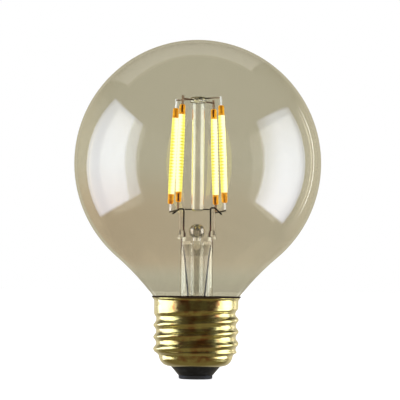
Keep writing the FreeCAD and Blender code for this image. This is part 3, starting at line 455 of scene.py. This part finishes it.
def sealed_wire(name, outer):
    """Bright at its ends, and black where the heat of the sealing has reached it, near the button."""
    finish = new_finish(name)
    x, y, z = finish.axes()
    far = (x * x + y * y).between((3.2 * MM) ** 2, (5.6 * MM) ** 2)
    marks = finish.noise(900.0, detail=3.0)
    shader = finish.principled(
        Base_Color=finish.mix(far * (marks * 0.5 + 0.7), (0.035, 0.025, 0.015), outer),
        Metallic=0.5, Roughness=marks * 0.2 + 0.30)
    return finish.show(shader)


dress(sealed_wire("upper wire of the outer strips", (0.50, 0.40, 0.32)), "upper_wire_a")
dress(sealed_wire("upper wire of the inner strips", (0.20, 0.11, 0.075)), "upper_wire_b")
dress(dark_wire, "lower_bracket_left", "lower_bracket_right", "rod_support_left", "rod_support_right")


# Leads: dark copper-clad wire, black from the welding heat at its hooks and redder lower down. A
# bright nickel post stands beside each.

def lead_copper(name):
    finish = new_finish(name)
    x, y, z = finish.axes()
    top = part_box("lead_wire_left")[1].z
    scorched = z.between(top - 8.0 * MM, top - 3.0 * MM)
    sealed = 1.0 - z.between(39.0 * MM, 42.0 * MM)
    stain = finish.noise(700.0)
    copper = finish.mix(stain, (0.13, 0.025, 0.015), (0.28, 0.075, 0.04))
    colour = finish.mix(scorched, copper, (0.010, 0.008, 0.008))
    colour = finish.mix(sealed, colour, (0.010, 0.006, 0.004))
    shader = finish.principled(Base_Color=colour, Metallic=(1.0 - sealed) * 0.4, Roughness=stain * 0.2 + 0.45,
                               Specular_IOR_Level=0.05)
    return finish.show(shader)


dress(lead_copper("copper-clad lead"), "lead_wire_left", "lead_wire_right")
dress(bright_metal("bright nickel post", (0.98, 0.90, 0.82), 0.30, 0.3, metallic=0.15),
      "lead_post_left", "lead_post_right")


# The cap: one sheet of brass, drawn to a cup and rolled to its thread, with fine scuffs round it from the
# rollers. Brown tarnish lies in patches, heaviest where the brass faces the eye, partly painted shade; toward
# its edges the brass turns pale, a painted highlight.

def rolled_brass(name):
    finish = new_finish(name)
    x, y, z = finish.axes()
    cloud = finish.noise(260.0, detail=6.0)
    scuff = finish.noise(420.0, detail=6.0, stretch=(0.22, 0.22, 5.0))
    dents = finish.noise(300.0, detail=2.0, stretch=(0.35, 0.35, 1.6))
    facing = finish.facing()
    # Patches of tarnish, made heaviest where the surface faces the eye: real tarnish with painted shade over
    # it.
    tarnish_and_painted_shade = cloud.between(0.38, 0.66) * (0.95 - facing.between(0.12, 0.30) * 0.75)
    brass = finish.mix(tarnish_and_painted_shade, (0.76, 0.64, 0.21), (0.46, 0.165, 0.045))
    # The colour turns pale toward the edges of the view: a painted highlight.
    brass = finish.mix(facing.between(0.40, 0.75), brass, (0.97, 0.90, 0.56))
    relief = finish.node("ShaderNodeBump", Height=scuff, Distance=0.00004,
                         Normal=finish.bump(dents, 0.00036)).outputs[0]
    shader = finish.principled(
        Base_Color=brass, Metallic=1.0, Roughness=scuff * 0.14 + 0.15, Normal=relief)
    return finish.show(shader)


dress(rolled_brass("rolled brass"), "screw_shell")


# The cement that fills the gap between the cap's mouth and the glass: dark, with a thin dark ring of it
# standing above the rim against the throat of the globe.

THROAT_ARC = 4.0 * MM
THROAT_CENTRE = (15.7 * MM, 21.85 * MM)
FILLET_LOW = 24.35 * MM
FILLET_HIGH = 25.30 * MM
FILLET_THICKNESS = 0.32 * MM


def throat_mark(height, clear):
    """A point at a distance outside the glass of the throat, from the height of the glass there."""
    drop = math.asin((height - THROAT_CENTRE[1]) / THROAT_ARC)
    reach = THROAT_ARC - clear
    return THROAT_CENTRE[0] - reach * math.cos(drop), THROAT_CENTRE[1] + reach * math.sin(drop)


def fillet_outline(steps=8):
    """A closed outline: up along the glass, and back down over a low crown."""
    heights = [FILLET_LOW + (FILLET_HIGH - FILLET_LOW) * step / steps for step in range(steps + 1)]
    inner = [throat_mark(height, 0.02 * MM) for height in heights]
    crown = [0.35 + 0.65 * math.sin(math.pi * (step + 1) / (steps + 2)) for step in range(steps + 1)]
    outer = [throat_mark(height, FILLET_THICKNESS * rise) for height, rise in zip(heights, crown)]
    return inner + outer[::-1] + inner[:1]


fillet = turned("cement_fillet", fillet_outline(), 96)


# The insulator: black glass poured hot into the bowl of the cap, slightly pitted, with the contact riveted
# through it, coloured near black.

def black_glass(name):
    finish = new_finish(name)
    pits = finish.noise(900.0, detail=5.0, roughness=0.7)
    shader = finish.principled(
        Base_Color=finish.mix(pits.between(0.45, 0.8), (0.002, 0.002, 0.002), (0.020, 0.020, 0.020)),
        Roughness=pits * 0.35 + 0.22, Normal=finish.bump(pits, 0.00016))
    return finish.show(shader)


dress(black_glass("black insulator glass"), "insulator")


# Near black all over, with fine mottling.
def near_black_contact(name):
    finish = new_finish(name)
    marks = finish.noise(700.0, detail=6.0, roughness=0.65)
    shader = finish.principled(
        Base_Color=finish.mix(marks, (0.006, 0.006, 0.006), (0.035, 0.034, 0.032)),
        Roughness=marks * 0.3 + 0.50, Specular_IOR_Level=0.2, Normal=finish.bump(marks, 0.0003))
    return finish.show(shader)


dress(near_black_contact("dark tinned contact"), "centre_contact")


# Baked cement between glass and brass, and the driver that the cap hides.

def plain_finish(name, colour, roughness, grain, depth=0.00003, metallic=0.0, gloss=0.5):
    finish = new_finish(name)
    speckle = finish.noise(grain, detail=4.0)
    shader = finish.principled(
        Base_Color=finish.mix(speckle, scaled(colour, 0.75), colour),
        Roughness=speckle * 0.2 + roughness, Metallic=metallic, Specular_IOR_Level=gloss,
        Normal=finish.bump(speckle, depth))
    return finish.show(shader)


cement = plain_finish("baked cement", (0.030, 0.018, 0.008), 0.80, 1500.0, 0.0001, gloss=0.1)
dress(cement, "base_cement")
fillet.data.materials.append(cement)
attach(fillet, "root")
dress(plain_finish("green board lacquer", (0.02, 0.10, 0.04), 0.30, 1200.0), "driver_board")
dress(plain_finish("black chip mould", (0.02, 0.02, 0.022), 0.45, 3000.0),
      "bridge_rectifier", "driver_chip")
dress(plain_finish("aluminium can", (0.72, 0.72, 0.74), 0.25, 2000.0, metallic=1.0), "smoothing_capacitor")
dress(plain_finish("blue-grey resistor lacquer", (0.14, 0.26, 0.32), 0.40, 2000.0), "fusible_resistor")
dress(bright_metal("tinned copper wire", (0.80, 0.52, 0.36), 0.28, 0.5),
      "contact_wire", "resistor_wire", "shell_wire")


# The studio: a pale floor, a white surround, a softbox on each side, a long one overhead behind the
# lamp, and a narrow strip behind its right side.

bpy.ops.object.select_all(action="DESELECT")
bpy.ops.mesh.primitive_circle_add(vertices=96, radius=6.0, fill_type="NGON")
floor = bpy.context.object
floor.name = "pale_floor"
pale = new_finish("pale floor")
pale_shade = pale.node("ShaderNodeBsdfDiffuse", Color=(0.40, 0.40, 0.40)).outputs[0]
pale_light = pale.node("ShaderNodeEmission", Color=(1.0, 1.0, 1.0), Strength=0.80).outputs[0]
pale_both = pale.node("ShaderNodeAddShader", _0=pale_shade, _1=pale_light).outputs[0]
floor.data.materials.append(pale.show(pale_both))
floor.visible_glossy = False


def softbox(name, corners, colour, brightness, hot=0.18, fade=0.03, lean=0.0, front=(0.0, 0.01, 1.0)):
    """A flat cloth of light, brightest in its middle and dimmer by lean towards its last two corners.
    Its front part is only front[2] as bright, and comes to full strength between front[0] and front[1]
    of its width. It blocks nothing, and the camera misses it."""
    bpy.ops.object.select_all(action="DESELECT")
    bpy.ops.mesh.primitive_plane_add(size=1.0)
    panel = bpy.context.object
    panel.name = name
    for vertex, corner in zip(panel.data.vertices, corners):
        vertex.co = corner
    cloth = new_finish(name)
    across, up, depth = cloth.axes(cloth.node("ShaderNodeUVMap", {"uv_map": "UVMap"}).outputs[0])
    out = (across - 0.5).size() * 2.0
    rise = (up - 0.5).size() * 2.0
    edge = (1.0 - out.between(1.0 - fade, 1.0)) * (1.0 - rise.between(1.0 - fade, 1.0))
    strength = (1.0 - out * out * hot - rise * rise * hot - (up - 0.5) * lean) * edge * brightness
    strength = strength * (across.between(front[0], front[1]) * (1.0 - front[2]) + front[2])
    light = cloth.node("ShaderNodeEmission", Color=colour, Strength=strength).outputs[0]
    clear = cloth.pane((1.0, 1.0, 1.0))
    both = cloth.node("ShaderNodeAddShader", _0=light, _1=clear).outputs[0]
    panel.data.materials.append(cloth.show(both))
    panel.visible_camera = False
    panel.visible_shadow = False


DAYLIGHT = (0.67, 0.745, 1.0)
softbox("left_softbox",
        [(-0.5, -0.33, -0.24), (-0.5, 0.39, -0.20), (-0.5, -0.355, 0.41), (-0.5, 0.215, 0.48)],
        DAYLIGHT, 4.4, fade=0.08, lean=0.3, front=(0.22, 0.27, 0.5))
softbox("right_softbox", [(0.5, -0.275, -0.29), (0.5, 0.24, -0.28), (0.5, -0.29, 0.43), (0.5, 0.235, 0.42)],
        DAYLIGHT, 4.5, hot=0.20, fade=0.09, lean=0.55, front=(0.0, 0.45, 0.62))
softbox("overhead_softbox", [(-0.82, 1.9, 0.9), (0.5, 1.9, 0.9), (-0.74, 0.36, 0.9), (0.46, 0.36, 0.9)],
        (0.98, 0.96, 0.93), 0.38, hot=0.0, lean=-1.5)
softbox("strip_light", [(0.5, 0.42, -0.20), (0.5, 0.47, -0.20), (0.5, 0.48, 0.42), (0.5, 0.54, 0.42)],
        (1.0, 0.97, 0.90), 4.3, hot=0.1, fade=0.5)

# How bright the mirrored room is in front of the lamp, under it and behind it.
ROOM_FRONT = 0.052
ROOM_BELOW = 0.13
ROOM_BEHIND = 0.62

world = bpy.data.worlds.new("white surround")
bpy.context.scene.world = world
surround = Finish(world)
right, behind, above = surround.axes(surround.node("ShaderNodeTexCoord").outputs["Generated"])
ray = surround.node("ShaderNodeLightPath")
mirrored = surround.value(ray, "Is Glossy Ray")
bent = surround.value(ray, "Is Transmission Ray")
ceiling = above.between(0.15, 0.5)
below = (-1.0 * above).between(0.15, 0.60)
far_wall = behind.between(0.30, 0.80) * (1.0 - ceiling) * (1.0 - below * 0.85)
room = ROOM_FRONT + below * ROOM_BELOW + far_wall * (ROOM_BEHIND - behind.between(0.92, 0.99) * 0.15)
aside = right.size()
beside = aside.between(0.20, 0.36) * (1.0 - aside.between(0.70, 0.85)) * 1.5
wall = 0.08 + behind.between(0.0, 0.45) * (0.92 + beside) * (1.0 - ceiling * 0.9)
strength = bent * wall + (1.0 - bent) * (mirrored * room + (1.0 - mirrored))
plain = surround.mix(bent * beside, (1.0, 1.0, 1.0), (0.82, 0.89, 1.0))
warmth = surround.mix(mirrored * (1.0 - bent), plain, (1.0, 0.91, 0.70))
glow = surround.node("ShaderNodeBackground", Color=warmth, Strength=strength).outputs[0]
surround.node("ShaderNodeOutputWorld", Surface=glow)

PHOTO_SIDE = 400
GLOBE_PIXELS = 247.2
CAMERA_DISTANCE = 540.0 * MM
CAMERA_HEIGHT = 29.0 * MM
AIM_HEIGHT = 54.9 * MM
AIM_RIGHT = 0.82 * MM
CAMERA_ROLL = 0.6

aim = Vector((AIM_RIGHT, 0.0, AIM_HEIGHT))
eye = Vector((AIM_RIGHT, -CAMERA_DISTANCE, CAMERA_HEIGHT))
camera_data = bpy.data.cameras.new("camera")
camera = bpy.data.objects.new("camera", camera_data)
bpy.context.scene.collection.objects.link(camera)
bpy.context.scene.camera = camera
camera.location = eye
level = (aim - eye).to_track_quat("-Z", "Y").to_matrix().to_4x4()
roll = Matrix.Rotation(math.radians(CAMERA_ROLL), 4, "Z")
camera.rotation_euler = (level @ roll).to_euler()
apparent = 2 * GLOBE_RADIUS / math.sqrt(1 - (GLOBE_RADIUS / CAMERA_DISTANCE) ** 2)
camera_data.lens = camera_data.sensor_width * (aim - eye).length / (apparent / GLOBE_PIXELS * PHOTO_SIDE)
camera_data.clip_start = 0.01

bpy.context.scene.view_settings.view_transform = "Standard"
bpy.context.scene.cycles.max_bounces = 32
bpy.context.scene.cycles.transmission_bounces = 24
bpy.context.scene.cycles.transparent_max_bounces = 32
